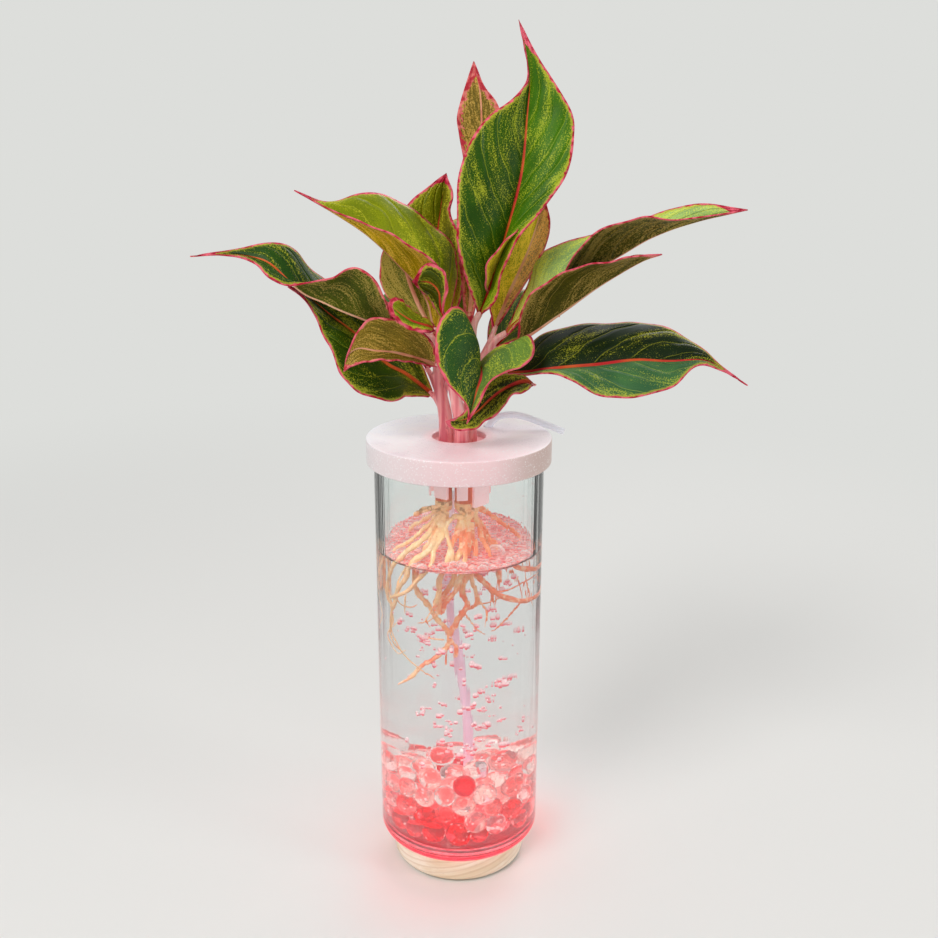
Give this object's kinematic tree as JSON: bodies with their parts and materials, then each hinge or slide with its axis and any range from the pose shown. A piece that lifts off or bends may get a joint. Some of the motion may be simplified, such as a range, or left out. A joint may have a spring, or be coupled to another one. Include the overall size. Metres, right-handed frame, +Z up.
{
  "type": "hydroponic vase",
  "caption": "Clear glass cylinder vase of water and gel beads on a round lit wooden base, with a moulded lid that holds a planted evergreen by its canes and an air tube to an air stone.",
  "frame": {"origin": "centre of the underside of the anti-slip pad, on the vase's axis, where the object stands", "axes": "+Z up along the vase's axis, -Y towards the front, +X to the right of someone in front of it"},
  "size_m": [0.2914, 0.1632, 0.4855],
  "materials": {
    "wood": "sanded pale maple with a thin clear oil",
    "diffuser": "frosted, lit warm pink from below",
    "board": "white coated circuit board",
    "led": "light package with a yellow phosphor face",
    "socket_metal": "plated shell",
    "black_plastic": "fine moulded grain",
    "pad": "matt foam rubber",
    "glass": "clear polished glass",
    "gel": "wet swollen gel, clear to coral and red",
    "lid": "translucent pearly white with a fine sparkle",
    "tube": "milky silicone",
    "nozzle": "moulded barb",
    "air_stone": "coarse sintered grit",
    "cane": "smooth fleshy stem, coral pink",
    "root": "wet roots, cream to orange",
    "leaf": "waxy, green with yellow-green flecks and crimson margins"
  },
  "bodies": {
    "base": {"wood_base": "wood", "diffuser": "diffuser", "light_board": "board", "led_1": "led", "led_2": "led", "led_3": "led", "led_4": "led", "led_5": "led", "led_6": "led", "power_socket": "socket_metal", "push_switch": "black_plastic", "bottom_cover": "black_plastic", "cover_screw_1": "socket_metal", "cover_screw_2": "socket_metal", "cover_screw_3": "socket_metal", "cover_screw_4": "socket_metal", "anti_slip_pad": "pad"},
    "button": {"button": "black_plastic"},
    "vase": {"glass_vase": "glass", "gel_beads": "gel"},
    "lid": {"lid": "lid", "air_tube": "tube", "air_stone": "air_stone", "nozzle": "nozzle", "cane_left": "cane", "roots_left": "root", "cane_middle": "cane", "roots_middle": "root", "cane_right": "cane", "roots_right": "root", "leaf_crown": "leaf", "leaf_back_tall": "leaf", "leaf_lime": "leaf", "leaf_olive": "leaf", "leaf_long_left": "leaf", "leaf_low_left": "leaf", "leaf_brown_left": "leaf", "leaf_upper_right": "leaf", "leaf_brown_right": "leaf", "leaf_wide_right": "leaf", "leaf_front": "leaf", "leaf_dark_low": "leaf", "leaf_lime_flap": "leaf", "leaf_small_curl": "leaf", "leaf_back_left": "leaf", "leaf_pink_right": "leaf", "leaf_back_right": "leaf", "leaf_rear_left": "leaf", "leaf_rear_right": "leaf", "leaf_rear_middle": "leaf"}
  },
  "joints": [
    {"name": "button_press", "type": "slide", "parent": "base", "child": "button", "axis": [0.5736, -0.8192, 0], "range_m": [0, 0.0009], "stiffness_N_per_m": 600},
    {"name": "vase_lift", "type": "slide", "parent": "base", "child": "vase", "axis": [0, 0, 1], "range_m": [0, 0.06]},
    {"name": "lid_lift", "type": "slide", "parent": "vase", "child": "lid", "axis": [0, 0, 1], "range_m": [0, 0.24]}
  ]
}
